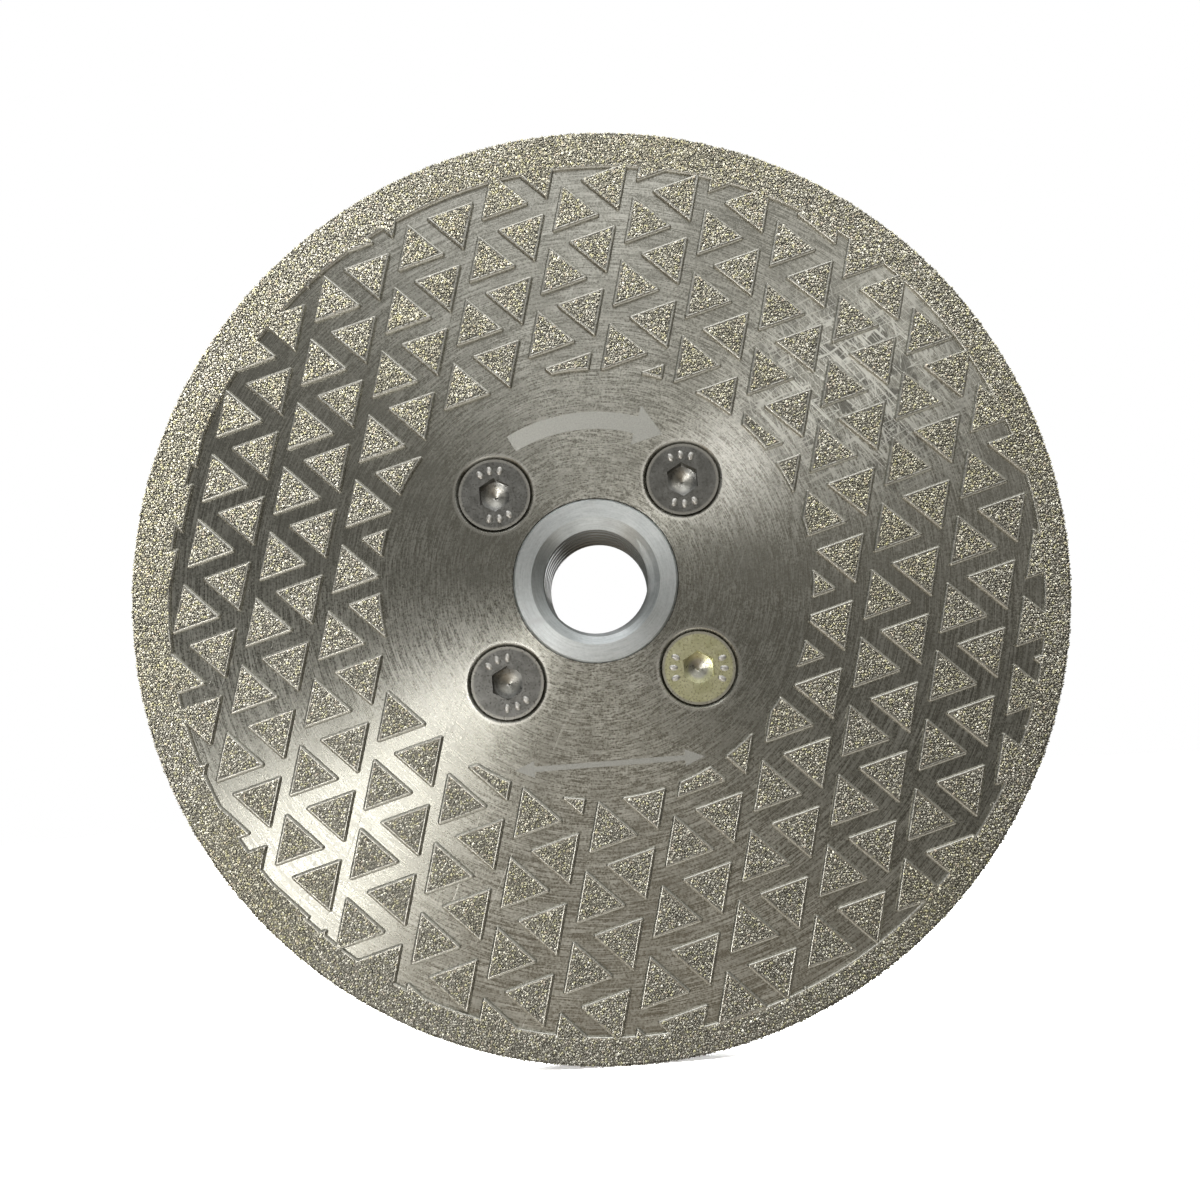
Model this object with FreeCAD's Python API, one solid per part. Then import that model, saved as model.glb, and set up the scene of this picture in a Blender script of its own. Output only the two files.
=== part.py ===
import FreeCAD, Part
import math
import os

# Diamond grinding wheel, 125 mm, with a screwed-on threaded hub.
# All sizes in millimetres. The parts are modelled in a working frame with the
# axle along Z, the grinding face towards +Z, X to the right and Y up. stand_up()
# then turns them so that the axle is Y, the grinding face looks along -Y and Z is up.

# Steel core
wheel_radius = 62.5
grit_thickness = 0.4
core_radius = wheel_radius - grit_thickness
core_thickness = 3.0
core_edge_chamfer = 0.25
arbor_radius = 22.23 / 2
front_face = core_thickness

# Diamond coating
pad_height = grit_thickness
pad_side = 6.25
column_angle = 75.19
column_pitch = 9.094
row_pitch = 10.035
upright_start = (4.450, -2.448)
inverted_start = (9.061, 1.957)
column_reach = 8
row_reach = 9
clear_radius = 29.0
mask_radius = 58.4
mask_offset = 1.06
mask_offset_angle = -42.0
back_band_inner_radius = 58.5
rim_edge_chamfer = 0.3
smallest_pad_area = 0.6

# Hub
flange_radius = 25.0
flange_thickness = 5.5
flange_chamfer = 0.5
boss_radius = 12.5
boss_length = 7.5
boss_chamfer = 0.5
boss_root_fillet = 0.4
wrench_flats = 22.0
wrench_flat_depth = 6.5
pilot_clearance = 0.1
pilot_radius = arbor_radius - pilot_clearance
pilot_proud = 0.1
pilot_chamfer = 0.25
hub_back = -(flange_thickness + boss_length)
pilot_front = core_thickness + pilot_proud

# Spindle thread, 5/8"-11 UNC, internal
spindle_minor_radius = 7.0
spindle_major_radius = 15.875 / 2
spindle_pitch = 25.4 / 11
spindle_root_flat = spindle_pitch / 8
spindle_lead_in = 0.7
spindle_lead_out = 0.9
smallest_thread_volume = 200.0
front_mouth_radius = 8.6
front_mouth_depth = 1.2
back_mouth_radius = 8.5
back_mouth_depth = 0.9

# Countersunk hexagon-socket screws, M5
screw_circle_radius = 18.0
screw_angles = (45.0, 135.0, 225.0, 315.0)
screw_radius = 2.45
screw_root_radius = 2.02
screw_pitch = 0.8
screw_end = -(flange_thickness - 0.6)
screw_end_chamfer = 0.5
head_radius = 4.85
head_edge = 0.3
head_recess = 0.2
socket_flats = 4.0
socket_depth = 1.7
socket_tip_depth = 0.5
countersink_radius = head_radius + head_edge + head_recess
clearance_hole_radius = 2.75
tapped_minor_radius = 2.12
tapped_major_radius = 2.53
tapped_mouth_radius = 2.65

THREAD_SLOPE = math.tan(math.radians(30.0))
OVERSHOOT = 1.0
SKIM = 0.15

AXLE = FreeCAD.Vector(0, 0, 1)
CENTRE = FreeCAD.Vector(0, 0, 0)


def vec(x, y, z=0.0):
    return FreeCAD.Vector(x, y, z)


def polar(radius, angle_deg, z=0.0):
    angle = math.radians(angle_deg)
    return vec(radius * math.cos(angle), radius * math.sin(angle), z)


def cylinder(radius, z_low, z_high, centre=CENTRE):
    base = vec(centre.x, centre.y, z_low)
    return Part.makeCylinder(radius, z_high - z_low, base, AXLE)


def turned(profile):
    """Solid of revolution about the axle from (radius, z) corners."""
    points = [vec(radius, 0, z) for radius, z in profile]
    face = Part.Face(Part.makePolygon(points + points[:1]))
    return face.revolve(CENTRE, AXLE, 360)


def prism(corners, z_low, z_high):
    points = [vec(corner.x, corner.y, z_low) for corner in corners]
    face = Part.Face(Part.makePolygon(points + points[:1]))
    return face.extrude(vec(0, 0, z_high - z_low))


def thread_tool(pitch, z_low, z_high, open_radius, closed_radius, closed_flat):
    """Helical cutter whose section is a 60 degree V, cut flat at closed_radius."""
    open_half = closed_flat / 2 + abs(closed_radius - open_radius) * THREAD_SLOPE
    closed_half = closed_flat / 2
    section = [
        vec(open_radius, 0, z_low - open_half),
        vec(closed_radius, 0, z_low - closed_half),
        vec(closed_radius, 0, z_low + closed_half),
        vec(open_radius, 0, z_low + open_half),
    ]
    helix = Part.makeHelix(pitch, z_high - z_low, closed_radius)
    helix.translate(vec(0, 0, z_low))
    wire = Part.makePolygon(section + section[:1])
    return Part.Wire(helix).makePipeShell([wire], True, True)


def mouth_tool(face, radius, depth, inward):
    """Conical chamfer of the bore, radius wide at its face; inward is the sign of Z into the hub."""
    steepness = depth / (radius - spindle_minor_radius)
    bottom = face + inward * steepness * (radius - spindle_minor_radius + SKIM)
    outside = face - inward * OVERSHOOT
    return turned([
        (0, outside),
        (radius, outside),
        (radius, face),
        (spindle_minor_radius - SKIM, bottom),
        (0, bottom),
    ])


def make_core():
    core = turned([
        (0, 0),
        (core_radius - core_edge_chamfer, 0),
        (core_radius, core_edge_chamfer),
        (core_radius, core_thickness - core_edge_chamfer),
        (core_radius - core_edge_chamfer, core_thickness),
        (0, core_thickness),
    ])
    core = core.cut(cylinder(arbor_radius, -OVERSHOOT, core_thickness + OVERSHOOT))
    cone_depth = countersink_radius - clearance_hole_radius
    hole = turned([
        (0, -OVERSHOOT),
        (clearance_hole_radius, -OVERSHOOT),
        (clearance_hole_radius, front_face - cone_depth),
        (countersink_radius + OVERSHOOT, front_face + OVERSHOOT),
        (0, front_face + OVERSHOOT),
    ])
    for angle in screw_angles:
        placed = hole.copy()
        placed.translate(polar(screw_circle_radius, angle))
        core = core.cut(placed)
    return core


def make_hub():
    hub = turned([
        (0, hub_back),
        (boss_radius - boss_chamfer, hub_back),
        (boss_radius, hub_back + boss_chamfer),
        (boss_radius, -flange_thickness - boss_root_fillet),
        (boss_radius + boss_root_fillet, -flange_thickness),
        (flange_radius - flange_chamfer, -flange_thickness),
        (flange_radius, -flange_thickness + flange_chamfer),
        (flange_radius, 0),
        (pilot_radius, 0),
        (pilot_radius, pilot_front - pilot_chamfer),
        (pilot_radius - pilot_chamfer, pilot_front),
        (0, pilot_front),
    ])
    flat_offset = wrench_flats / 2
    for side in (0.0, 180.0):
        slab = Part.makeBox(
            boss_radius,
            2 * boss_radius,
            wrench_flat_depth + OVERSHOOT,
            vec(flat_offset, -boss_radius, hub_back - OVERSHOOT),
        )
        slab.rotate(CENTRE, AXLE, screw_angles[0] + side)
        hub = hub.cut(slab)
    hub = hub.cut(cylinder(spindle_minor_radius, hub_back - OVERSHOOT, pilot_front + OVERSHOOT))
    spindle_thread = thread_tool(
        spindle_pitch,
        hub_back - spindle_lead_in,
        pilot_front + spindle_lead_out,
        spindle_minor_radius - 2 * SKIM,
        spindle_major_radius,
        spindle_root_flat,
    )
    threaded = hub.cut(spindle_thread)
    if hub.Volume - threaded.Volume < smallest_thread_volume:
        raise RuntimeError("the spindle thread was not cut")
    back_mouth = mouth_tool(hub_back, back_mouth_radius, back_mouth_depth, 1)
    front_mouth = mouth_tool(pilot_front, front_mouth_radius, front_mouth_depth, -1)
    hub = threaded.cut(back_mouth).cut(front_mouth)
    mouth_depth = tapped_mouth_radius - tapped_minor_radius
    hole = turned([
        (0, -flange_thickness - OVERSHOOT),
        (tapped_mouth_radius, -flange_thickness - OVERSHOOT),
        (tapped_mouth_radius, -flange_thickness),
        (tapped_minor_radius, -flange_thickness + mouth_depth),
        (tapped_minor_radius, -mouth_depth),
        (tapped_mouth_radius, 0),
        (tapped_mouth_radius, OVERSHOOT),
        (0, OVERSHOOT),
    ])
    tap = thread_tool(
        screw_pitch,
        -flange_thickness - screw_pitch,
        screw_pitch,
        tapped_minor_radius - SKIM,
        tapped_major_radius,
        screw_pitch / 8,
    )
    for angle in screw_angles:
        for tool in (hole, tap):
            placed = tool.copy()
            placed.translate(polar(screw_circle_radius, angle))
            hub = hub.cut(placed)
    return hub


def make_screw():
    head_top = front_face - head_recess
    cone_depth = head_radius - screw_radius
    screw = turned([
        (0, screw_end),
        (screw_radius - screw_end_chamfer, screw_end),
        (screw_radius, screw_end + screw_end_chamfer),
        (screw_radius, head_top - head_edge - cone_depth),
        (head_radius, head_top - head_edge),
        (head_radius, head_top),
        (0, head_top),
    ])
    socket_corner = socket_flats / math.sqrt(3)
    corners = [polar(socket_corner, 60.0 * side + 30.0) for side in range(6)]
    screw = screw.cut(prism(corners, head_top - socket_depth, head_top + OVERSHOOT))
    drill_tip = Part.makeCone(
        0,
        socket_flats / 2,
        socket_tip_depth,
        vec(0, 0, head_top - socket_depth - socket_tip_depth),
        AXLE,
    )
    screw = screw.cut(drill_tip)
    thread_start = -flange_thickness - screw_pitch / 2
    turns = math.floor((-thread_start) / screw_pitch)
    die = thread_tool(
        screw_pitch,
        thread_start,
        thread_start + turns * screw_pitch,
        screw_radius + SKIM,
        screw_root_radius,
        screw_pitch / 4,
    )
    return screw.cut(die)


def triangle(centre, along, across, point_sign):
    """Corners of an equilateral pad: one side runs along the column."""
    height = pad_side * math.sqrt(3) / 2
    base = centre - across * (point_sign * height / 3)
    tip = centre + across * (point_sign * 2 * height / 3)
    half_side = along * (pad_side / 2)
    return [base - half_side, base + half_side, tip]


def pad_positions():
    """Every pad of the pattern as (column, kind, corners)."""
    along = polar(1.0, column_angle)
    across = polar(1.0, column_angle - 90.0)
    kinds = (("upright", upright_start, 1.0), ("inverted", inverted_start, -1.0))
    for column in range(-column_reach, column_reach + 1):
        for kind, start, point_sign in kinds:
            for row in range(-row_reach, row_reach + 1):
                along_distance = start[0] + row * column_pitch
                across_distance = start[1] + column * row_pitch
                centre = along * along_distance + across * across_distance
                yield column, kind, triangle(centre, along, across, point_sign)


def make_diamond_layer():
    """The separate pads by (column, kind), and the rim coating with the pads that run into it."""
    mask_centre = polar(mask_offset, mask_offset_angle)
    layer_top = front_face + pad_height
    clear_zone = cylinder(clear_radius, front_face - OVERSHOOT, layer_top + OVERSHOOT)
    core_disc = cylinder(core_radius, front_face, layer_top)
    rim = turned([
        (0, -grit_thickness),
        (wheel_radius - rim_edge_chamfer, -grit_thickness),
        (wheel_radius, -grit_thickness + rim_edge_chamfer),
        (wheel_radius, layer_top - rim_edge_chamfer),
        (wheel_radius - rim_edge_chamfer, layer_top),
        (0, layer_top),
    ])
    rim = rim.cut(turned([
        (0, 0),
        (core_radius - core_edge_chamfer, 0),
        (core_radius, core_edge_chamfer),
        (core_radius, core_thickness - core_edge_chamfer),
        (core_radius - core_edge_chamfer, core_thickness),
        (0, core_thickness),
    ]))
    rim = rim.cut(cylinder(mask_radius, front_face - SKIM, layer_top + OVERSHOOT, mask_centre))
    rim = rim.cut(cylinder(back_band_inner_radius, -grit_thickness - OVERSHOOT, SKIM))
    pads = {}
    joined = []
    for column, kind, corners in pad_positions():
        radii = [corner.Length for corner in corners]
        mask_distances = [(corner - mask_centre).Length for corner in corners]
        if max(radii) <= clear_radius or min(mask_distances) >= mask_radius:
            continue
        pad = prism(corners, front_face, layer_top)
        if min(radii) < clear_radius + pad_side:
            pad = pad.cut(clear_zone)
        if pad.Volume < smallest_pad_area * pad_height:
            continue
        if max(mask_distances) >= mask_radius:
            joined.append(pad.common(core_disc))
            continue
        pads.setdefault((column, kind), []).extend(pad.Solids)
    return pads, rim.multiFuse(joined).removeSplitter()


def stand_up(shape):
    placed = shape.copy()
    placed.rotate(CENTRE, vec(1, 0, 0), 90)
    return placed


def save(name, shape):
    if not shape.isValid():
        raise RuntimeError(name + " is not a valid shape")
    stand_up(shape).exportStep(os.path.join("parts", name + ".step"))


def main():
    os.makedirs("parts", exist_ok=True)
    save("steel_core", make_core())
    save("threaded_hub", make_hub())
    screw = make_screw()
    for number, angle in enumerate(screw_angles, start=1):
        placed = screw.copy()
        placed.translate(polar(screw_circle_radius, angle))
        save("countersunk_screw_%d" % number, placed)
    pads, rim = make_diamond_layer()
    save("diamond_rim", rim)
    columns = sorted({column for column, kind in pads})
    for (column, kind), solids in sorted(pads.items()):
        name = "pads_column_%02d_%s" % (columns.index(column) + 1, kind)
        save(name, Part.makeCompound(solids))


main()
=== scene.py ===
import math

import bpy
import numpy as np
from mathutils import Matrix, Vector


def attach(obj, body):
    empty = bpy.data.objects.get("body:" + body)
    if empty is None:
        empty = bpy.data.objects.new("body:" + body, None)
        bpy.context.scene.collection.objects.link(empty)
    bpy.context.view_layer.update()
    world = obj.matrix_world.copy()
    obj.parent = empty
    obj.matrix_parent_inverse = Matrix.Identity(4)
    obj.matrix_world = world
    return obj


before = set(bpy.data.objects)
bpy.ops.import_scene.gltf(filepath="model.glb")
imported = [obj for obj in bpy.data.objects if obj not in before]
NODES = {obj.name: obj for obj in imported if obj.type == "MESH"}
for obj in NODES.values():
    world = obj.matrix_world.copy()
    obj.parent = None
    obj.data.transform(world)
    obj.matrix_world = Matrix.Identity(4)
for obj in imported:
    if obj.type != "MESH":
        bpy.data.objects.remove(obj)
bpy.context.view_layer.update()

MM = 0.001
RNG = np.random.default_rng(20260)  # every random draw comes from here, in the order of the script

# Sizes shared with the CAD model, in millimetres. The axle is along Y, and the diamond face looks to -Y.
WHEEL_RADIUS = 62.5
PAD_TOP = 3.4
CORE_FRONT = 3.0
BACK_TOP = 0.4
SCREW_CIRCLE = 18.0
SCREW_ANGLES = (45.0, 135.0, 225.0, 315.0)
SCREW_HEAD_FRONT = 2.8
PLANE_TOLERANCE = 0.01  # a point this near a plane lies in it

# Diamond crystals, in millimetres. A pair holds the limits of a random draw.
GRAIN_SPACING = 0.34
GRAIN_ROW_STEP = 0.87  # from row to row, as a share of the spacing
GRAIN_NUDGE = 0.3  # furthest from its place in the grid, as a share of the spacing
GRAIN_RADIUS = 0.20
GRAIN_SIZE = (0.8, 1.3)  # a crystal's size, as a share of the radius
CORNER_REACH = (0.75, 1.2)  # each corner's distance, as a share of the crystal's size
GRAIN_LIFT = (-0.02, 0.09)  # a crystal's middle above the layer
GRAIN_MARGIN = 0.17  # bare strip along a pad's outline
FIELD_MARGIN = 1.0  # how far the grid of points goes past the wheel
EDGE_MARGIN = 0.15  # bare strip along both sides of the rim's edge
EDGE_SINK = 0.15  # how deep the crystals of the rim's edge are set

# The plating's rolled edge: distance from the outline in millimetres, and share of the pad's height there
FILLET_PROFILE = ((0.0, 1.05), (0.10, 1.02), (0.19, 0.90), (0.26, 0.70), (0.31, 0.42), (0.34, 0.0))
FILLET_SIDES = 12
SHORTEST_EDGE = 0.02
OUTER_EDGE_BAND = 1.0  # this near the wheel's outer edge, the coating's outline has no rolled edge

# Raised bars on the screw heads, in millimetres and degrees. The profile's rows are the share of the bar's
# outline and the height above the head there.
BAR_HALF_LENGTH = 0.62
BAR_HALF_WIDTH = 0.42
BAR_PROFILE = ((1.0, -0.02), (0.94, 0.0855), (0.72, 0.1558), (0.36, 0.19))
BAR_SIDES = 16
BAR_CIRCLE = 3.35
BAR_ARCS = (90.0, 270.0)
BAR_STEPS = (-24.0, 0.0, 24.0)
HEAD_TURNS = (0.0, 8.0, 20.0, 85.0)  # how far each screw is turned

# Pale arrows on the clear zone, in millimetres and degrees
TURN_ARROW_INNER = 20.6
TURN_ARROW_OUTER = 23.0
TURN_ARROW_HEAD_INNER = 19.0
TURN_ARROW_HEAD_OUTER = 24.6
TURN_ARROW_START = 117.0
TURN_ARROW_END = 71.0
TURN_ARROW_HEAD_ANGLE = 10.0
TURN_ARROW_STEPS = 40
WIDTH_ARROW_HALF = 12.5
WIDTH_ARROW_BODY = 0.35
WIDTH_ARROW_HEAD = 2.6
WIDTH_ARROW_HEAD_HALF = 1.1
WIDTH_ARROW_Z = -24.3
ARROW_SINK = 0.01
ARROW_THICKNESS = 0.025

# The core's brushing: noise scales along the radius, per metre, and round the axle. Its values lie mostly
# between LINES_LOW and LINES_HIGH.
BRUSH_FINE = (8500.0, 10.0)
BRUSH_BROAD = (3200.0, 6.0)
BRUSH_SHARES = (0.46, 0.20, 0.34)  # of the fine noise, the broad noise and the specks
LINES_LOW, LINES_MIDDLE, LINES_HIGH = 0.43, 0.50, 0.57

# The core's colours and finish, and how strongly each mark covers it
STEEL_DARK = (0.345, 0.34, 0.30)
STEEL_MID = (0.50, 0.495, 0.445)
STEEL_LIGHT = (0.73, 0.725, 0.67)
STEEL_PATINA = (0.42, 0.415, 0.375)
STEEL_BLOTCH = (0.20, 0.198, 0.178)
STEEL_SCRATCH = (0.95, 0.95, 0.89)
# the colour of a lighter ring round each countersink, then that of the painted shade inside it
STEEL_SEAT_RING = (0.80, 0.79, 0.74)
STEEL_SINK_SHADE = (0.10, 0.097, 0.08)
# painted highlight: the colours of two brightened patches on the front, at the hub's upper right and lower
# left
HIGHLIGHT_DARK = (0.62, 0.61, 0.565)
HIGHLIGHT_LIGHT = (1.0, 0.99, 0.94)
STEEL_ROUGHNESS = (0.25, 0.41)
STEEL_ANISOTROPY = 0.85
PATINA_STRENGTH = 0.6
BLOTCH_STRENGTH = 0.8
# how strongly the two painted highlights cover the steel, at the upper right and at the lower left
HIGHLIGHT_STRENGTH = 0.9
OPPOSITE_HIGHLIGHT_STRENGTH = 0.4
SCRATCH_STRENGTH = 0.9
STRAY_STRENGTH = 0.3
# how strongly the lighter ring and the painted shade in the countersinks cover the steel
SEAT_RING_STRENGTH = 0.8
SINK_SHADE_STRENGTH = 0.75

# The places of those marks in X and Z, in millimetres. Each pair of distances is where a soft edge starts and
# ends.
SCUFF_CENTRE = (37.0, 24.0)
SCUFF_REACH = (7.0, 21.0)
# where the two painted highlights lie, and how far they reach
HIGHLIGHT_CENTRE = (19.5, 13.5)
HIGHLIGHT_OPPOSITE = (-21.5, -9.5)
HIGHLIGHT_REACH = (3.0, 11.0)
# from the screw's axis: where the painted shade inside each countersink fades out, then where the lighter
# ring round it starts and ends
SINK_EDGE = (5.10, 5.25)
SEAT_RING_START = (5.15, 5.30)
SEAT_RING_END = (5.55, 5.75)

# Scratches: angle in degrees, noise scale per metre, how drawn out, and width
SCUFF_LINES = ((-52.0, 1100.0, 14.0, 0.030), (24.0, 900.0, 10.0, 0.024), (-80.0, 1300.0, 12.0, 0.020))
STRAY_LINES = (65.0, 260.0, 30.0, 0.006)
HUB_NICKS = ((12.0, 700.0, 16.0, 0.012), (-60.0, 600.0, 18.0, 0.010))

# The hub's tool marks: noise scales along the radius, round the axle and along it. Then its colours and
# finish, including painted shade in the bore, and its bore in millimetres.
HUB_MARKS = (6000.0, 4.0, 5000.0)
HUB_DARK = (0.71, 0.755, 0.77)
HUB_LIGHT = (0.91, 0.955, 0.975)
HUB_CLOUD = (0.63, 0.67, 0.685)
HUB_NICK = (0.85, 0.88, 0.90)
# painted shade in the threaded bore
HUB_BORE_SHADE = (0.16, 0.165, 0.165)
HUB_ROUGHNESS = (0.36, 0.50)
HUB_ANISOTROPY = 0.6
CLOUD_STRENGTH = 0.4
NICK_STRENGTH = 0.7
# how strongly the painted shade darkens the bore
BORE_SHADE_STRENGTH = 0.8
BORE_RADIUS = (8.0, 8.3)
BORE_MIDDLE = 5.1
BORE_HALF_DEPTH = (6.6, 7.1)

# The screws' platings, dark and light, and the places made paler, in millimetres from the screw's axis: a
# lighter outer edge, and a painted highlight in and round the socket
SCREW_GREY = ((0.20, 0.20, 0.19), (0.33, 0.33, 0.32))
SCREW_OLIVE = ((0.68, 0.675, 0.41), (0.88, 0.87, 0.60))
# the colour of the lighter outer edge and of the painted highlight in and round the socket
SCREW_PALE = (0.55, 0.54, 0.50)
SCREW_ROUGHNESS = (0.24, 0.42)
HEAD_EDGE = (4.40, 4.62)
SOCKET_HIGHLIGHT_EDGE = (1.1, 1.6)

# A crystal's colour by its random tint
GRIT_TINTS = (
    (0.00, (0.066, 0.063, 0.052)),
    (0.30, (0.098, 0.094, 0.079)),
    (0.44, (0.129, 0.124, 0.105)),
    (0.52, (0.150, 0.144, 0.090)),
    (0.60, (0.162, 0.157, 0.136)),
    (0.80, (0.204, 0.198, 0.176)),
    (0.86, (0.163, 0.142, 0.119)),
    (0.93, (0.183, 0.176, 0.111)),
    (1.00, (0.330, 0.324, 0.295)),
)
GRIT_WARM = (0.86, 0.84, 0.68)  # tint of the warmer patches

# Studio, in metres. Lights: name, place, width, height, watts and colour. They all face the wheel's centre.
SHINE_LIGHTS = (
    ("key_low_left", (-0.237, -0.639, -0.108), 0.13, 0.13, 0.60, (1.0, 0.985, 0.95)),
    ("fill_high_right", (0.323, -0.558, 0.338), 0.20, 0.20, 0.10, (1.0, 0.985, 0.94)),
    ("top_soft", (-0.08, -0.42, 0.55), 0.45, 0.25, 0.8, (1.0, 1.0, 1.0)),
)
BACK_LIGHT = ("back_key", (0.24, 0.646, 0.0), 0.22, 0.22, 0.95, (1.0, 0.99, 0.97))
WASH_LIGHTS = (
    ("floor_wash", (0.0, 0.2, 1.2), 1.3, 1.3, 16.0, (1.0, 1.0, 1.0)),
    ("grit_wash_high_left", (-0.09, -0.06, 0.065), 0.09, 0.09, 0.92, (1.0, 0.985, 0.94)),
    ("grit_wash_high_right", (0.09, -0.06, 0.12), 0.09, 0.09, 0.95, (1.0, 0.99, 0.92)),
    ("grit_wash_low_left", (-0.09, -0.06, -0.08), 0.09, 0.09, 0.26, (1.0, 0.99, 0.97)),
    ("grit_wash_back_left", (-0.30, 0.25, 0.20), 0.20, 0.20, 5.0, (1.0, 1.0, 1.0)),
    ("grit_wash_back_right", (0.30, 0.25, 0.20), 0.20, 0.20, 5.0, (1.0, 1.0, 1.0)),
)
WHITE = (1.0, 1.0, 1.0)
SKY_COLOUR = (0.455, 0.455, 0.437)
GROUND_COLOUR = (0.275, 0.220, 0.150)
TABLE_COLOUR = (0.95, 0.94, 0.90)
SHADE_LEFT = (0.115, 0.116, 0.110)
SHADE_RIGHT = (0.062, 0.060, 0.052)
SHADE_ANGLE = 166.0  # the line through both dark sides, from X towards Z
SHADE_EDGE = (0.22, 0.97)
SHADE_SPREAD = (-0.4, 0.4)
SKY_SPREAD = (-0.35, 0.45)
TABLE_EDGE_Z = (-0.80, -0.60)
TABLE_EDGE_Y = (-0.35, -0.05)
FLOOR_RADIUS = 1.6
FLOOR_GATHER = 1.5  # above 1, the rings lie closer near the middle
FLOOR_RINGS = 24
FLOOR_SIDES = 96
FLOOR_DARK = (0.90, 0.90, 0.90)
FLOOR_LIGHT = (0.93, 0.93, 0.93)
FLOOR_FADE = (0.10, 0.60)
FLOOR_GLOW = 0.45
CAMERA_PLACE = (0.004, -0.153, -0.0185)
CAMERA_TARGET = (0.0004, -0.003, -0.0027)
CAMERA_ROLL = -4.5
CAMERA_LENS = 34.0
CAMERA_SENSOR = 36.0
CAMERA_CLIP = (0.01, 20.0)


# ---------------------------------------------------------------- helpers


def on_circle(radius, degrees):
    """The point at that angle on a circle about 0, 0."""
    angle = math.radians(degrees)
    return radius * math.cos(angle), radius * math.sin(angle)


def in_metres(values):
    return tuple(value * MM for value in values)


def collection_link(ob):
    bpy.context.scene.collection.objects.link(ob)
    return ob


def new_mesh(name, verts, faces, unit=1.0):
    """A mesh from points in the given unit, in metres."""
    me = bpy.data.meshes.new(name)
    me.from_pydata([tuple(c * unit for c in v) for v in verts], [], faces)
    me.update()
    return me


def carry(name, me, m):
    """A piece of one material that rides on the wheel."""
    ob = collection_link(bpy.data.objects.new(name, me))
    me.materials.append(m)
    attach(ob, "root")
    return ob


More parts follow.
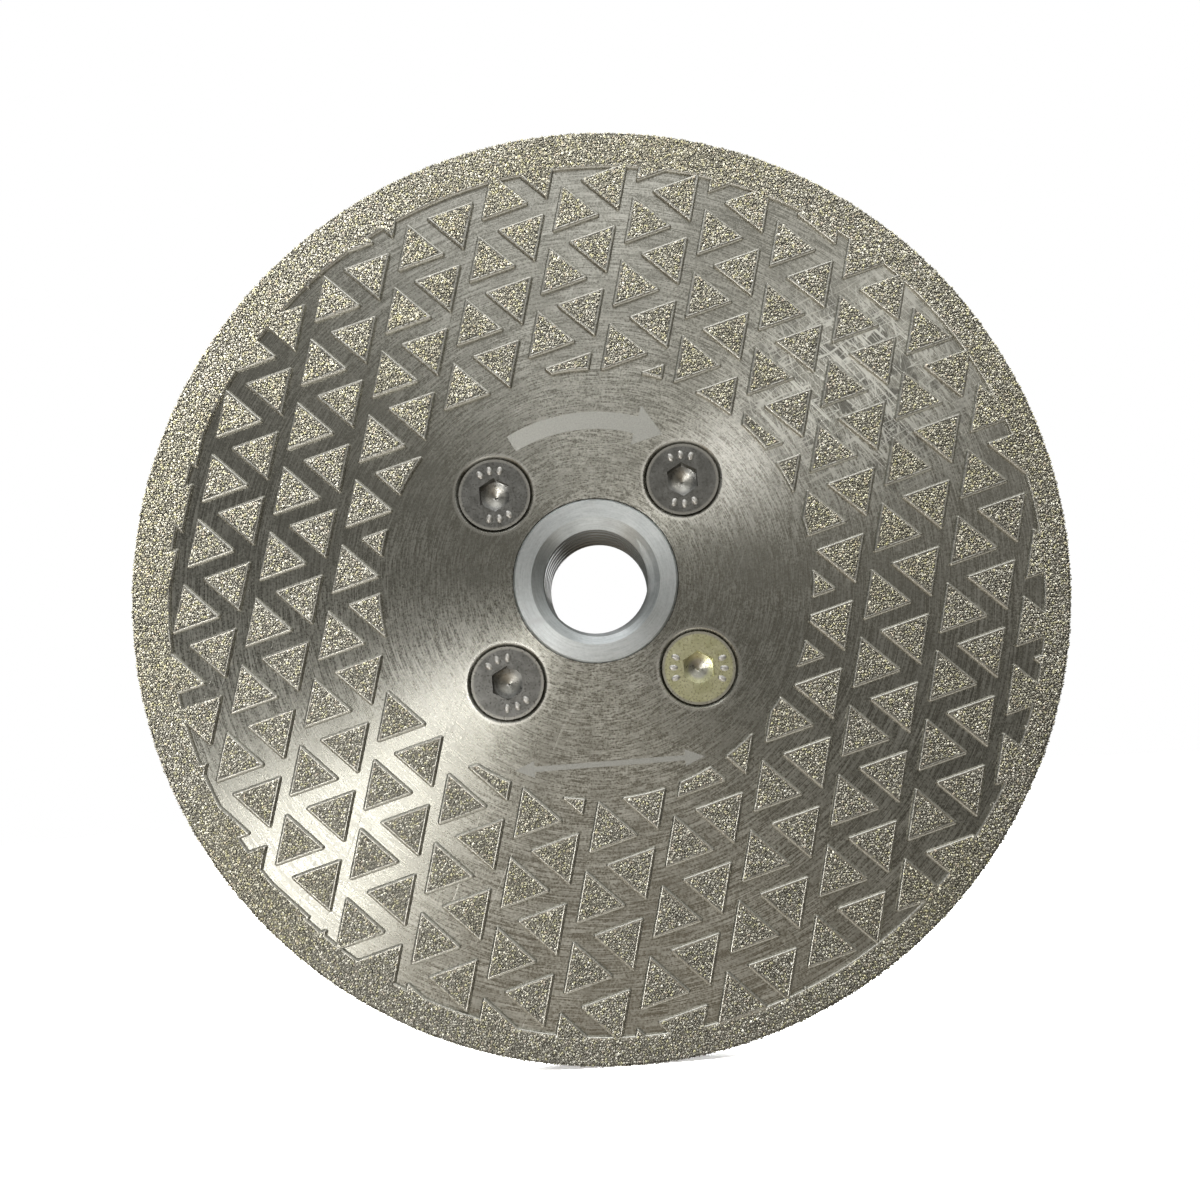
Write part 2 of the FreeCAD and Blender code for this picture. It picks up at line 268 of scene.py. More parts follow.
class Tree:
    """Small builder for the node tree of a material or of the world."""

    def __init__(self, tree, output):
        self.tree = tree
        tree.nodes.clear()
        self.surface = self.add(output).inputs["Surface"]

    def add(self, kind, **values):
        node = self.tree.nodes.new(kind)
        for key, value in values.items():
            setattr(node, key, value)
        return node

    def link(self, out, inp):
        self.tree.links.new(out, inp)

    def feed(self, node, values):
        """Sets or links a node's first inputs, one for each value."""
        for socket, value in zip(node.inputs, values):
            if isinstance(value, (int, float)):
                socket.default_value = value
            else:
                self.link(value, socket)
        return node.outputs[0]

    def math(self, op, *values):
        return self.feed(self.add("ShaderNodeMath", operation=op), values)

    def plus(self, a, b):
        return self.math("ADD", a, b)

    def minus(self, a, b):
        return self.math("SUBTRACT", a, b)

    def times(self, a, b):
        return self.math("MULTIPLY", a, b)

    def largest(self, first, *rest):
        for value in rest:
            first = self.math("MAXIMUM", first, value)
        return first

    def sum_of_squares(self, a, b):
        return self.plus(self.times(a, a), self.times(b, b))

    def combine(self, x, y, z):
        return self.feed(self.add("ShaderNodeCombineXYZ"), (x, y, z))

    def separate(self, vector):
        node = self.add("ShaderNodeSeparateXYZ")
        self.link(vector, node.inputs[0])
        return node.outputs

    def object_coord(self):
        return self.add("ShaderNodeTexCoord").outputs["Object"]

    def noise(self, vector, scale=1.0, detail=2.0, rough=0.5):
        node = self.add("ShaderNodeTexNoise")
        node.inputs["Scale"].default_value = scale
        node.inputs["Detail"].default_value = detail
        node.inputs["Roughness"].default_value = rough
        self.link(vector, node.inputs["Vector"])
        return node.outputs["Fac"]

    def ramp(self, fac, stops):
        node = self.add("ShaderNodeValToRGB")
        elements = node.color_ramp.elements
        while len(elements) < len(stops):
            elements.new(0.5)
        for element, (position, colour) in zip(elements, stops):
            element.position = position
            element.color = (*colour, 1.0)
        self.link(fac, node.inputs["Fac"])
        return node.outputs["Color"]

    def remap(self, value, from_low, from_high, to_low, to_high):
        return self.feed(self.add("ShaderNodeMapRange"), (value, from_low, from_high, to_low, to_high))

    def rise(self, value, low, high, top=1.0):
        """0 up to "low", growing to "top" at "high"."""
        return self.remap(value, low, high, 0.0, top)

    def fall(self, value, low, high, top=1.0):
        """The value "top" up to "low", shrinking to 0 at "high"."""
        return self.remap(value, low, high, top, 0.0)

    def mix(self, fac, a, b, blend="MIX"):
        node = self.add("ShaderNodeMix", data_type="RGBA", blend_type=blend)
        for key, v in ((0, fac), (6, a), (7, b)):
            if isinstance(v, (int, float)):
                node.inputs[key].default_value = v
            elif isinstance(v, tuple):
                node.inputs[key].default_value = (*v, 1.0)
            else:
                self.link(v, node.inputs[key])
        return node.outputs[2]

    def mix_shaders(self, fac, a, b):
        node = self.add("ShaderNodeMixShader")
        for socket, out in zip(node.inputs, (fac, a, b)):
            self.link(out, socket)
        self.link(node.outputs[0], self.surface)

    def bump(self, height, strength, depth):
        """Bump of a depth in millimetres."""
        node = self.add("ShaderNodeBump")
        node.inputs["Strength"].default_value = strength
        node.inputs["Distance"].default_value = depth * MM
        self.link(height, node.inputs["Height"])
        return node.outputs[0]

    def polar(self):
        """Object coordinates, radius from the axle, the radius's direction in X and in Z, and Y."""
        coord = self.object_coord()
        x, y, z = self.separate(coord)
        radius = self.math("SQRT", self.sum_of_squares(x, z))
        safe = self.math("MAXIMUM", radius, 1e-6)
        return coord, radius, self.math("DIVIDE", x, safe), self.math("DIVIDE", z, safe), y

    def swirl(self, radius, dx, dz, across, along):
        """Noise drawn out round the axle, with its scales across the rings, per metre, and along them."""
        vec = self.combine(self.times(radius, across), self.times(dx, along), self.times(dz, along))
        return self.noise(vec, rough=0.6)

    def scratches(self, coord, angle, scale, stretch, width):
        """Thin broken lines in the XZ plane at an angle in degrees, 1 on a line and 0 off it."""
        x, _, z = self.separate(coord)
        c, s = on_circle(1.0, angle)
        u = self.plus(self.times(x, c), self.times(z, s))
        v = self.plus(self.times(x, -s), self.times(z, c))
        vec = self.combine(self.times(u, scale / stretch), self.times(v, scale), angle)
        off = self.math("ABSOLUTE", self.minus(self.noise(vec, detail=1.0), 0.5))
        return self.fall(off, width * 0.4, width)

    def near(self, coord, centre, reach):
        """1 near a point in the XZ plane, fading to 0 between two distances, all in millimetres."""
        x, _, z = self.separate(coord)
        dx, dz = self.minus(x, centre[0] * MM), self.minus(z, centre[1] * MM)
        return self.fall(self.math("SQRT", self.sum_of_squares(dx, dz)), *in_metres(reach))

    def screw_radius(self, coord):
        """Distance from the nearest screw's axis; the four stand alike in the four quadrants."""
        x, _, z = self.separate(coord)
        place, _ = on_circle(SCREW_CIRCLE * MM, SCREW_ANGLES[0])
        dx = self.minus(self.math("ABSOLUTE", x), place)
        dz = self.minus(self.math("ABSOLUTE", z), place)
        return self.math("SQRT", self.sum_of_squares(dx, dz))


def material(name):
    """A new material, its tree, and its shader, which is linked to the output."""
    m = bpy.data.materials.new(name)
    m.use_nodes = True
    t = Tree(m.node_tree, "ShaderNodeOutputMaterial")
    p = t.add("ShaderNodeBsdfPrincipled")
    t.link(p.outputs[0], t.surface)
    return m, t, p


def finish_metal(t, p, base, rough, bump, metallic=1.0):
    """Gives the shader its colour, roughness and bump."""
    t.link(base, p.inputs["Base Color"])
    t.link(rough, p.inputs["Roughness"])
    t.link(bump, p.inputs["Normal"])
    p.inputs["Metallic"].default_value = metallic


def brush_round_axle(t, p, anisotropy):
    """Draws each highlight out across the rings of a surface worked round the axle."""
    p.inputs["Anisotropic"].default_value = anisotropy
    p.inputs["Anisotropic Rotation"].default_value = 0.25
    tangent = t.add("ShaderNodeTangent", direction_type="RADIAL", axis="Y")
    t.link(tangent.outputs[0], p.inputs["Tangent"])


# ---------------------------------------------------------------- materials


def add_painted_highlights(t, base, coord, lines, front):
    """Two painted highlights on opposite sides of the hub, the stronger one at the upper right."""
    highlight_patches = t.largest(
        t.times(t.near(coord, HIGHLIGHT_OPPOSITE, HIGHLIGHT_REACH), OPPOSITE_HIGHLIGHT_STRENGTH),
        t.times(t.near(coord, HIGHLIGHT_CENTRE, HIGHLIGHT_REACH), HIGHLIGHT_STRENGTH),
    )
    bright = t.ramp(lines, ((LINES_LOW, HIGHLIGHT_DARK), (LINES_HIGH, HIGHLIGHT_LIGHT)))
    return t.mix(t.times(highlight_patches, front), base, bright)


def find_scratches(t, coord, scuffed):
    """1 on a scratch: crossing scuffs in the scuffed patch, and a few faint strays elsewhere."""
    scuffs = t.times(t.largest(*(t.scratches(coord, *line) for line in SCUFF_LINES)), scuffed)
    stray = t.times(t.scratches(coord, *STRAY_LINES), t.rise(t.noise(coord, scale=90.0), 0.52, 0.60))
    return t.largest(scuffs, t.times(stray, STRAY_STRENGTH))


def add_screw_seats(t, base, coord):
    """A lighter ring round each countersink, and painted shade inside it."""
    from_screw = t.screw_radius(coord)
    seat_ring = t.times(t.rise(from_screw, *in_metres(SEAT_RING_START)), t.fall(from_screw, *in_metres(SEAT_RING_END)))
    base = t.mix(t.times(seat_ring, SEAT_RING_STRENGTH), base, STEEL_SEAT_RING)
    # painted shade: darkens the steel inside each countersink
    sink = t.fall(from_screw, *in_metres(SINK_EDGE))
    return t.mix(t.times(sink, SINK_SHADE_STRENGTH), base, STEEL_SINK_SHADE)


def core_steel():
    """Circular-brushed bare steel, with two painted highlights and a scuffed patch on its front, and painted
    shade inside the countersinks.
    """
    m, t, p = material("brushed_core_steel")
    coord, radius, dx, dz, y = t.polar()
    fine = t.swirl(radius, dx, dz, *BRUSH_FINE)
    broad = t.swirl(radius, dx, dz, *BRUSH_BROAD)
    speck = t.noise(coord, scale=4200.0)
    fine_share, broad_share, speck_share = BRUSH_SHARES
    brush = t.plus(t.times(fine, fine_share), t.times(broad, broad_share))
    lines = t.plus(brush, t.times(speck, speck_share))
    front = t.math("LESS_THAN", y, -CORE_FRONT * MM / 2)
    scuffed = t.times(t.near(coord, SCUFF_CENTRE, SCUFF_REACH), front)
    marks = find_scratches(t, coord, scuffed)

    base = t.ramp(lines, ((LINES_LOW, STEEL_DARK), (LINES_MIDDLE, STEEL_MID), (LINES_HIGH, STEEL_LIGHT)))
    cloud = t.noise(coord, scale=150.0, detail=4.0, rough=0.6)
    base = t.mix(t.rise(cloud, 0.42, 0.66, PATINA_STRENGTH), base, STEEL_PATINA)
    # painted highlights on the front, on opposite sides of the hub
    base = add_painted_highlights(t, base, coord, lines, front)
    blotch = t.rise(t.noise(coord, scale=330.0, detail=3.0), 0.50, 0.58, BLOTCH_STRENGTH)
    base = t.mix(t.times(blotch, scuffed), base, STEEL_BLOTCH)
    base = t.mix(t.times(marks, SCRATCH_STRENGTH), base, STEEL_SCRATCH)
    # a lighter ring round each countersink, and painted shade inside it
    base = add_screw_seats(t, base, coord)

    rough = t.plus(t.remap(lines, LINES_LOW, LINES_HIGH, *STEEL_ROUGHNESS), t.times(marks, 0.06))
    height = t.plus(brush, t.times(marks, 0.8))
    finish_metal(t, p, base, rough, t.bump(height, 0.5, 0.03))
    brush_round_axle(t, p, STEEL_ANISOTROPY)
    return m


def hub_alloy():
    """Turned aluminium with light tool marks, and painted shade in the threaded bore."""
    m, t, p = material("turned_hub_aluminium")
    coord, radius, dx, dz, y = t.polar()
    across, along, down = HUB_MARKS
    turned_z = t.plus(t.times(dz, along), t.times(y, down))
    tool_marks = t.noise(t.combine(t.times(radius, across), t.times(dx, along), turned_z))
    speck = t.noise(coord, scale=3000.0, detail=3.0)
    height = t.plus(t.times(tool_marks, 0.6), t.times(speck, 0.4))
    cloud = t.noise(coord, scale=260.0, detail=4.0)
    nick = t.largest(*(t.scratches(coord, *line) for line in HUB_NICKS))
    depth = t.math("ABSOLUTE", t.minus(y, BORE_MIDDLE * MM))
    bore = t.times(t.fall(radius, *in_metres(BORE_RADIUS)), t.fall(depth, *in_metres(BORE_HALF_DEPTH)))

    base = t.ramp(height, ((0.35, HUB_DARK), (0.65, HUB_LIGHT)))
    base = t.mix(t.rise(cloud, 0.45, 0.75, CLOUD_STRENGTH), base, HUB_CLOUD)
    base = t.mix(t.times(nick, NICK_STRENGTH), base, HUB_NICK)
    # painted shade in the bore
    base = t.mix(t.times(bore, BORE_SHADE_STRENGTH), base, HUB_BORE_SHADE)
    rough = t.plus(t.remap(cloud, 0.3, 0.7, *HUB_ROUGHNESS), t.times(nick, 0.1))
    finish_metal(t, p, base, rough, t.bump(height, 0.3, 0.03))
    brush_round_axle(t, p, HUB_ANISOTROPY)
    return m


def screw_steel(name, low, high):
    """Plated screw: turning rings about its axis, a lighter outer edge and a painted highlight in and round
    the socket.
    """
    m, t, p = material(name)
    coord = t.object_coord()
    radius = t.screw_radius(coord)
    rings = t.noise(t.combine(t.times(radius, 9000.0), 0.0, 0.0), detail=1.0)
    cloud = t.noise(coord, scale=900.0, detail=4.0)
    spots = t.noise(coord, scale=3600.0)
    height = t.plus(t.times(rings, 0.5), t.times(spots, 0.5))
    tone = t.plus(t.times(cloud, 0.6), t.times(height, 0.4))
    pale_edge_and_socket_highlight = t.largest(
        t.rise(radius, *in_metres(HEAD_EDGE), top=0.8),
        # painted highlight in and round the socket
        t.fall(radius, *in_metres(SOCKET_HIGHLIGHT_EDGE), top=0.9),
    )
    base = t.mix(pale_edge_and_socket_highlight, t.ramp(tone, ((0.38, low), (0.62, high))), SCREW_PALE)
    finish_metal(t, p, base, t.remap(spots, 0.3, 0.7, *SCREW_ROUGHNESS), t.bump(height, 0.25, 0.02))
    return m


def grained_metal(name, low, high, rough, scale, bump, detail=3.0, spread=0.15, metallic=1.0):
    """Metal with a fine random grain: two limits each for colour and roughness, bump as (strength, depth)."""
    m, t, p = material(name)
    grain = t.noise(t.object_coord(), scale, detail)
    base = t.ramp(grain, ((0.5 - spread, low), (0.5 + spread, high)))
    finish_metal(t, p, base, t.remap(grain, 0.3, 0.7, *rough), t.bump(grain, *bump), metallic)
    return m


def bond_metal():
    """The metal layer that holds the crystals."""
    low, high = (0.15, 0.145, 0.125), (0.42, 0.41, 0.37)
    return grained_metal("braze_layer", low, high, (0.35, 0.55), 3200.0, (0.6, 0.15))


def plated_edge():
    """The rolled edge of that layer."""
    low, high = (0.52, 0.51, 0.46), (0.76, 0.75, 0.69)
    return grained_metal("plated_edge", low, high, (0.24, 0.38), 4200.0, (0.5, 0.05))


def raised_bar_steel():
    """The bars on the screw heads, where the plating is rubbed bright."""
    low, high = (0.72, 0.71, 0.68), (0.90, 0.89, 0.86)
    return grained_metal("raised_bar_steel", low, high, (0.36, 0.50), 4200.0, (0.5, 0.05))


def etched():
    """The pale arrows, rougher than the brushed steel round them."""
    low, high = (0.29, 0.29, 0.273), (0.44, 0.44, 0.415)
    return grained_metal(
        "pale_etch", low, high, (0.5, 0.65), 5000.0, (0.4, 0.03), detail=2.0, spread=0.2, metallic=0.9
    )


def grit():
    """Diamond crystals, each with its own tint."""
    m, t, p = material("diamond_grains")
    tint = t.add("ShaderNodeAttribute", attribute_name="tint").outputs["Fac"]
    patch = t.noise(t.object_coord(), scale=40.0)
    base = t.mix(t.rise(patch, 0.45, 0.7, top=0.5), t.ramp(tint, GRIT_TINTS), GRIT_WARM, blend="MULTIPLY")
    t.link(base, p.inputs["Base Color"])
    t.link(t.remap(tint, 0.0, 1.0, 0.34, 0.14), p.inputs["Roughness"])
    p.inputs["Metallic"].default_value = 0.08
    p.inputs["IOR"].default_value = 1.6
    return m


# ---------------------------------------------------------------- crystals

OCTAHEDRON = np.array([[1, 0, 0], [-1, 0, 0], [0, 1, 0], [0, -1, 0], [0, 0, 1], [0, 0, -1]], float)
OCTA_FACES = np.array([
    [0, 2, 4], [2, 1, 4], [1, 3, 4], [3, 0, 4], [2, 0, 5], [1, 2, 5], [3, 1, 5], [0, 3, 5],
])


def random_rotations(n):
    quaternions = RNG.normal(size=(n, 4))
    w, x, y, z = (quaternions / np.linalg.norm(quaternions, axis=1)[:, None]).T
    rows = (
        (1 - 2 * (y * y + z * z), 2 * (x * y - z * w), 2 * (x * z + y * w)),
        (2 * (x * y + z * w), 1 - 2 * (x * x + z * z), 2 * (y * z - x * w)),
        (2 * (x * z - y * w), 2 * (y * z + x * w), 1 - 2 * (x * x + y * y)),
    )
    return np.stack([np.stack(row, -1) for row in rows], 1)


def grains(name, points, normals, m):
    """One crystal on each point, half sunk in the layer below it, with its tint. Lengths in millimetres."""
    n, corners, sides = len(points), len(OCTAHEDRON), len(OCTA_FACES)
    size = GRAIN_RADIUS * RNG.uniform(*GRAIN_SIZE, (n, 1, 1)) * RNG.uniform(*CORNER_REACH, (n, corners, 1))
    shape = np.einsum("nij,kj->nki", random_rotations(n), OCTAHEDRON) * size
    lift = RNG.uniform(*GRAIN_LIFT, (n, 1))
    verts = shape + (points + normals * lift)[:, None, :]
    faces = OCTA_FACES[None] + corners * np.arange(n)[:, None, None]
    me = bpy.data.meshes.new(name)
    me.vertices.add(corners * n)
    me.vertices.foreach_set("co", (verts * MM).astype(np.float32).ravel())
    me.loops.add(3 * sides * n)
    me.loops.foreach_set("vertex_index", faces.astype(np.int32).ravel())
    me.polygons.add(sides * n)
    me.polygons.foreach_set("loop_start", np.arange(0, 3 * sides * n, 3, dtype=np.int32))
    me.update(calc_edges=True)
    tint = me.attributes.new("tint", "FLOAT", "POINT")
    tint.data.foreach_set("value", np.repeat(RNG.random(n), corners).astype(np.float32))
    return carry(name, me, m)


def jittered_grid(width, height):
    """Staggered grid of points with a random nudge, centred on 0."""
    row_step = GRAIN_SPACING * GRAIN_ROW_STEP
    u, v = np.meshgrid(np.arange(int(width / GRAIN_SPACING) + 1), np.arange(int(height / row_step) + 1))
    u = (u + 0.5 * (v % 2)) * GRAIN_SPACING - width / 2
    v = v * row_step - height / 2
    pts = np.stack([u.ravel(), v.ravel()], 1)
    return pts + RNG.uniform(-GRAIN_NUDGE, GRAIN_NUDGE, pts.shape) * GRAIN_SPACING


def flat_triangles(node, y):
    """The node's triangles that lie in that plane, as (n, 3, 2) in X and Z, in millimetres."""
    me = NODES[node].data
    me.calc_loop_triangles()
    co = np.empty(len(me.vertices) * 3)
    me.vertices.foreach_get("co", co)
    tri = np.empty(len(me.loop_triangles) * 3, np.int32)
    me.loop_triangles.foreach_get("vertices", tri)
    tri = (co.reshape(-1, 3) / MM)[tri.reshape(-1, 3)]
    in_plane = np.all(np.abs(tri[:, :, 1] - y) < PLANE_TOLERANCE, axis=1)
    return tri[in_plane][:, :, (0, 2)]


def points_in(tris, pts):
    """Which points lie in any of the triangles."""
    hit = np.zeros(len(pts), bool)
    order = np.argsort(pts[:, 0])
    xs = pts[order, 0]
    for a, b, c in tris:
        low, high = min(a[0], b[0], c[0]), max(a[0], b[0], c[0])
        beside = order[np.searchsorted(xs, low):np.searchsorted(xs, high)]
        x, z = pts[beside].T
        area = (b[0] - a[0]) * (c[1] - a[1]) - (b[1] - a[1]) * (c[0] - a[0])
        if abs(area) < 1e-9 or not len(beside):
            continue
        s = ((b[0] - x) * (c[1] - z) - (b[1] - z) * (c[0] - x)) / area
        t = ((c[0] - x) * (a[1] - z) - (c[1] - z) * (a[0] - x)) / area
        hit[beside[(s >= 0) & (t >= 0) & (s + t <= 1)]] = True
    return hit


def outline_edges(tris):
    """The edges that only one triangle has, as (n, 2, 2)."""
    count = {}
    for tri in np.round(tris, 3):
        for i in range(3):
            a, b = tuple(tri[i]), tuple(tri[(i + 1) % 3])
            if a != b:
                key = (min(a, b), max(a, b))
                count[key] = count.get(key, 0) + 1
    return np.array([key for key, n in count.items() if n == 1])


def away_from(edges, pts, margin):
    """The points that are at least "margin" from every edge."""
    keep = np.ones(len(pts), bool)
    for p, q in edges:
        side = q - p
        along = np.clip((pts - p) @ side / max(side @ side, 1e-9), 0.0, 1.0)
        keep &= np.hypot(*(pts - p - along[:, None] * side).T) >= margin
    return pts[keep]


def on_plane(pts, y, normal_y):
    points = np.stack([pts[:, 0], np.full(len(pts), y), pts[:, 1]], 1)
    normals = np.tile((0.0, normal_y, 0.0), (len(pts), 1))
    return points, normals


def make_grains(m):
    """Crystals on the pads, on both bands of the rim coating and round its edge."""
    side = 2 * (WHEEL_RADIUS + FIELD_MARGIN)
    field = jittered_grid(side, side)
    pad_nodes = sorted(n for n in NODES if n.startswith("pads_column"))
    for column in sorted({n.rsplit("_", 1)[0] for n in pad_nodes}):
        tris = [flat_triangles(n, -PAD_TOP) for n in pad_nodes if n.startswith(column)]
        pts = field[points_in(np.concatenate(tris), field)]
        pts = away_from(np.concatenate([outline_edges(tri) for tri in tris]), pts, GRAIN_MARGIN)
        grains(column.replace("pads", "grains"), *on_plane(pts, -PAD_TOP, -1.0), m)
    for name, y, normal_y in (("grains_rim_front", -PAD_TOP, -1.0), ("grains_rim_back", BACK_TOP, 1.0)):
        pts = field[points_in(flat_triangles("diamond_rim", y), field)]
        grains(name, *on_plane(pts, y, normal_y), m)
    strip = jittered_grid(2 * math.pi * WHEEL_RADIUS, PAD_TOP + BACK_TOP - 2 * EDGE_MARGIN)
    angle = strip[:, 0] / WHEEL_RADIUS
    outward = np.stack([np.cos(angle), np.zeros(len(angle)), np.sin(angle)], 1)
    points = outward * (WHEEL_RADIUS - EDGE_SINK)
    points[:, 1] = strip[:, 1] - (PAD_TOP - BACK_TOP) / 2
    grains("grains_rim_edge", points, outward, m)


# ---------------------------------------------------------------- plated edges


def add_ridge(p, q, levels, verts, faces):
    """The rolled edge's profile, swept along one edge. Levels are the profile's distances with their Y."""
    out = np.array((q[1] - p[1], p[0] - q[0])) / math.hypot(*(q - p))
    across = [(-u, y) for u, y in reversed(levels)] + levels[1:]
    start, n = len(verts), len(across)
    for end in (p, q):
        verts += [(end[0] + out[0] * u, y, end[1] + out[1] * u) for u, y in across]
    faces += [(start + i, start + i + 1, start + n + i + 1, start + n + i) for i in range(n - 1)]


def add_dome(corner, levels, verts, faces):
    """The same profile, turned round a corner of the outline."""
    start = len(verts)
    verts.append((corner[0], levels[0][1], corner[1]))
    for u, y in levels[1:]:
        for side in range(FILLET_SIDES):
            x, z = on_circle(u, 360.0 * side / FILLET_SIDES)
            verts.append((corner[0] + x, y, corner[1] + z))
    for side in range(FILLET_SIDES):
        after = (side + 1) % FILLET_SIDES
        faces.append((start, start + 1 + side, start + 1 + after))
        for ring in range(len(levels) - 2):
            inner, outer = start + 1 + ring * FILLET_SIDES, start + 1 + (ring + 1) * FILLET_SIDES
            faces.append((inner + side, outer + side, outer + after, inner + after))


def fillet(name, edges, top, steel, m):
    """The plating's rolled edge: a ridge along each edge and round each corner, down to the steel."""
    levels = [(u, steel + (top - steel) * share) for u, share in FILLET_PROFILE]
    verts, faces = [], []
    for p, q in edges:
        if math.hypot(*(q - p)) >= SHORTEST_EDGE:
            add_ridge(p, q, levels, verts, faces)
    for corner in np.unique(np.round(edges.reshape(-1, 2), 3), axis=0):
        add_dome(corner, levels, verts, faces)
    me = new_mesh(name, verts, faces, MM)
    me.shade_smooth()
    return carry(name, me, m)


def make_fillets(m):
    pads = [outline_edges(flat_triangles(n, -PAD_TOP)) for n in sorted(NODES) if n.startswith("pads_column")]
    fillet("pad_edge_fillets", np.concatenate(pads), -PAD_TOP, -CORE_FRONT, m)
    for name, top, steel in (("rim_front_fillet", -PAD_TOP, -CORE_FRONT), ("rim_back_fillet", BACK_TOP, 0.0)):
        rim = outline_edges(flat_triangles("diamond_rim", top))
        inner = np.hypot(rim[:, :, 0], rim[:, :, 1]).max(1) < WHEEL_RADIUS - OUTER_EDGE_BAND
        fillet(name, rim[inner], top, steel, m)


# ---------------------------------------------------------------- small trim


def add_bar(centre, degrees, verts, faces):
    """A small rounded bar on a screw head, its length pointing that way."""
    start = len(verts)
    along_x, along_z = on_circle(1.0, degrees)
    for share, height in BAR_PROFILE:
        for side in range(BAR_SIDES):
            across_x, across_z = on_circle(share, 360.0 * side / BAR_SIDES)
            u, v = BAR_HALF_LENGTH * across_x, BAR_HALF_WIDTH * across_z
            x = centre[0] + u * along_x - v * along_z
            z = centre[1] + u * along_z + v * along_x
            verts.append((x, -SCREW_HEAD_FRONT - height, z))
    last = len(BAR_PROFILE) - 1
    for ring in range(last):
        low, high = start + ring * BAR_SIDES, start + (ring + 1) * BAR_SIDES
        for side in range(BAR_SIDES):
            after = (side + 1) % BAR_SIDES
            faces.append((low + side, low + after, high + after, high + side))
    faces.append(tuple(start + side for side in reversed(range(BAR_SIDES))))
    faces.append(tuple(start + last * BAR_SIDES + side for side in range(BAR_SIDES)))


def make_screw_bars(m):
    """Three bars above and three below each screw's socket, in place of lettering."""
    verts, faces = [], []
    for angle, turn in zip(SCREW_ANGLES, HEAD_TURNS):
        screw_x, screw_z = on_circle(SCREW_CIRCLE, angle)
        for arc in BAR_ARCS:
            for step in BAR_STEPS:
                x, z = on_circle(BAR_CIRCLE, arc + step + turn)
                add_bar((screw_x + x, screw_z + z), arc + step + turn, verts, faces)
    me = new_mesh("screw_head_bars", verts, faces, MM)
    me.shade_smooth()
    return carry("screw_head_bars", me, m)


def turn_arrow():
    """Outline of a curved arrow above the hub, for the direction of turn."""
    swing = (TURN_ARROW_END - TURN_ARROW_START) / TURN_ARROW_STEPS
    angles = [TURN_ARROW_START + swing * i for i in range(TURN_ARROW_STEPS + 1)]
    head = [
        on_circle(TURN_ARROW_HEAD_OUTER, TURN_ARROW_END),
        on_circle((TURN_ARROW_INNER + TURN_ARROW_OUTER) / 2, TURN_ARROW_END - TURN_ARROW_HEAD_ANGLE),
        on_circle(TURN_ARROW_HEAD_INNER, TURN_ARROW_END),
    ]
    outer = [on_circle(TURN_ARROW_OUTER, angle) for angle in angles]
    return outer + head + [on_circle(TURN_ARROW_INNER, angle) for angle in reversed(angles)]


def width_arrow():
    """Outline of a straight arrow with two heads below the hub."""
    neck = WIDTH_ARROW_HALF - WIDTH_ARROW_HEAD
    right = [(neck, WIDTH_ARROW_BODY), (neck, WIDTH_ARROW_HEAD_HALF), (WIDTH_ARROW_HALF, 0.0)]
    right += [(neck, -WIDTH_ARROW_HEAD_HALF), (neck, -WIDTH_ARROW_BODY)]
    left = [(-x, -z) for x, z in right]
    points = left[2:] + right + left[:2]
    return [(x, WIDTH_ARROW_Z + z) for x, z in points]


def plate(outline, depth, thickness):
    """Closed thin plate with the given outline in X and Z, standing out towards -Y."""
    n = len(outline)
    verts = [(x, -depth, z) for x, z in outline] + [(x, -depth - thickness, z) for x, z in outline]
    faces = [tuple(range(n)), tuple(reversed(range(n, 2 * n)))]
    faces += [(i, i + n, (i + 1) % n + n, (i + 1) % n) for i in range(n)]
    return verts, faces


def make_etched_arrows(m):
    """Generic marks in place of the lettering round the hub."""
    verts, faces = [], []
    for outline in (turn_arrow(), width_arrow()):
        plate_verts, plate_faces = plate(outline, CORE_FRONT - ARROW_SINK, ARROW_THICKNESS)
        faces += [tuple(i + len(verts) for i in face) for face in plate_faces]
        verts += plate_verts
    return carry("etched_arrows", new_mesh("etched_arrows", verts, faces, MM), m)


# ---------------------------------------------------------------- the wheel


def paint(node, m):
    ob = NODES[node]
    ob.data.materials.clear()
    ob.data.materials.append(m)


def build_wheel():
    steel, alloy, bond, crystals = core_steel(), hub_alloy(), bond_metal(), grit()
    grey = screw_steel("screw_steel_grey", *SCREW_GREY)
    olive = screw_steel("screw_steel_olive", *SCREW_OLIVE)
    paint("steel_core", steel)
    paint("threaded_hub", alloy)
    for number, plating in enumerate((grey, grey, grey, olive), 1):
        paint("countersunk_screw_%d" % number, plating)
    for node in NODES:
        if node.startswith("pads_column") or node == "diamond_rim":
            paint(node, bond)
    make_grains(crystals)
    make_fillets(plated_edge())
    make_screw_bars(raised_bar_steel())
    make_etched_arrows(etched())


# ---------------------------------------------------------------- studio


def pale_floor():
    """Matt white that glows a little and fades out at its edge."""
    m, t, p = material("pale_floor")
    coord = t.object_coord()
    x, y, _ = t.separate(coord)
    base = t.ramp(t.noise(coord, scale=30.0, detail=3.0), ((0.3, FLOOR_DARK), (0.7, FLOOR_LIGHT)))
    t.link(base, p.inputs["Base Color"])
    p.inputs["Roughness"].default_value = 0.9
    p.inputs["Specular IOR Level"].default_value = 0.1
    p.inputs["Emission Color"].default_value = (*WHITE, 1.0)
    p.inputs["Emission Strength"].default_value = FLOOR_GLOW
    fade = t.rise(t.math("SQRT", t.sum_of_squares(x, y)), *FLOOR_FADE)
    t.mix_shaders(fade, p.outputs[0], t.add("ShaderNodeBsdfTransparent").outputs[0])
    return m


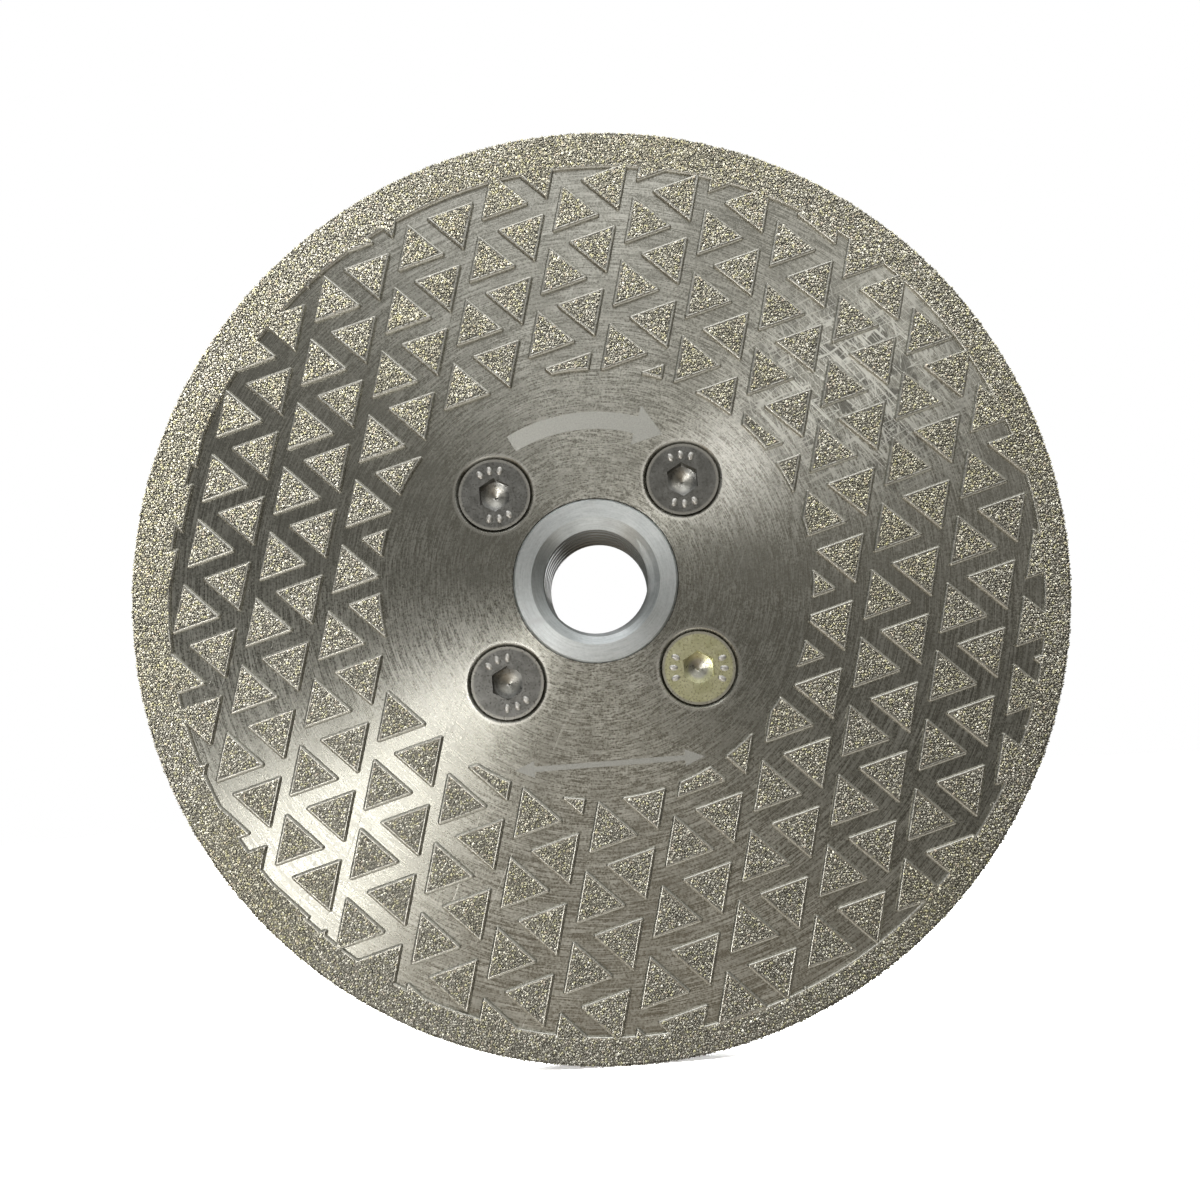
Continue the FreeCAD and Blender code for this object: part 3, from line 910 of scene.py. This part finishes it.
def make_floor():
    """A round floor under the wheel. It shows to the camera, and not in reflections, bounces or shadows."""
    z = -WHEEL_RADIUS * MM
    verts, faces = [(0.0, 0.0, z)], []
    for ring in range(1, FLOOR_RINGS + 1):
        radius = FLOOR_RADIUS * (ring / FLOOR_RINGS) ** FLOOR_GATHER
        verts += [(*on_circle(radius, 360.0 * side / FLOOR_SIDES), z) for side in range(FLOOR_SIDES)]
    for side in range(FLOOR_SIDES):
        faces.append((0, 1 + side, 1 + (side + 1) % FLOOR_SIDES))
    for ring in range(FLOOR_RINGS - 1):
        low, high = 1 + ring * FLOOR_SIDES, 1 + (ring + 1) * FLOOR_SIDES
        for side in range(FLOOR_SIDES):
            after = (side + 1) % FLOOR_SIDES
            faces.append((low + side, high + side, high + after, low + after))
    floor = collection_link(bpy.data.objects.new("studio_floor", new_mesh("studio_floor", verts, faces)))
    floor.data.materials.append(pale_floor())
    floor.visible_glossy = False
    floor.visible_diffuse = False
    floor.visible_shadow = False


def background(t, colour):
    """The output of a Background shader, of a plain colour or a linked one."""
    node = t.add("ShaderNodeBackground")
    if isinstance(colour, tuple):
        node.inputs["Color"].default_value = (*colour, 1.0)
    else:
        t.link(colour, node.inputs["Color"])
    return node.outputs[0]


def make_world():
    """White to look at; as a light, a studio dark at the left and right, with a bright table low in front."""
    world = bpy.data.worlds.new("studio")
    bpy.context.scene.world = world
    world.use_nodes = True
    t = Tree(world.node_tree, "ShaderNodeOutputWorld")
    x, y, z = t.separate(t.add("ShaderNodeTexCoord").outputs["Generated"])
    side_x, side_z = on_circle(1.0, SHADE_ANGLE)
    along = t.plus(t.times(x, side_x), t.times(z, side_z))
    sideways = t.math("DIVIDE", t.times(along, along), t.math("MAXIMUM", t.sum_of_squares(x, z), 0.001))
    shade = t.mix(t.rise(x, *SHADE_SPREAD), SHADE_LEFT, SHADE_RIGHT)
    sky = t.mix(t.rise(z, *SKY_SPREAD), GROUND_COLOUR, SKY_COLOUR)
    table = t.times(t.fall(z, *TABLE_EDGE_Z), t.fall(y, *TABLE_EDGE_Y))
    room = t.mix(table, t.mix(t.rise(sideways, *SHADE_EDGE), sky, shade), TABLE_COLOUR)
    seen = t.add("ShaderNodeLightPath").outputs["Is Camera Ray"]
    t.mix_shaders(seen, background(t, room), background(t, WHITE))


def area_light(name, place, width, height, power, colour):
    data = bpy.data.lights.new(name, "AREA")
    data.shape = "RECTANGLE"
    data.size, data.size_y = width, height
    data.energy = power
    data.color = colour
    ob = collection_link(bpy.data.objects.new(name, data))
    ob.visible_camera = False
    ob.location = place
    ob.rotation_euler = (Vector() - Vector(place)).to_track_quat("-Z", "Y").to_euler()
    return ob


def make_lights():
    """Lights that only shine on metal, one for the back, and washes that only light matt surfaces."""
    for row in SHINE_LIGHTS:
        area_light(*row).visible_diffuse = False
    area_light(*BACK_LIGHT)
    for row in WASH_LIGHTS:
        area_light(*row).visible_glossy = False


def make_camera():
    data = bpy.data.cameras.new("camera")
    cam = collection_link(bpy.data.objects.new("camera", data))
    data.sensor_width = CAMERA_SENSOR
    data.lens = CAMERA_LENS
    data.clip_start, data.clip_end = CAMERA_CLIP
    place, target = Vector(CAMERA_PLACE), Vector(CAMERA_TARGET)
    roll = Matrix.Rotation(math.radians(CAMERA_ROLL), 4, "Z")
    aim = (target - place).to_track_quat("-Z", "Y").to_matrix().to_4x4()
    cam.matrix_world = Matrix.Translation(place) @ aim @ roll
    bpy.context.scene.camera = cam


build_wheel()
make_floor()
make_world()
make_lights()
make_camera()
bpy.context.scene.view_settings.view_transform = "Standard"
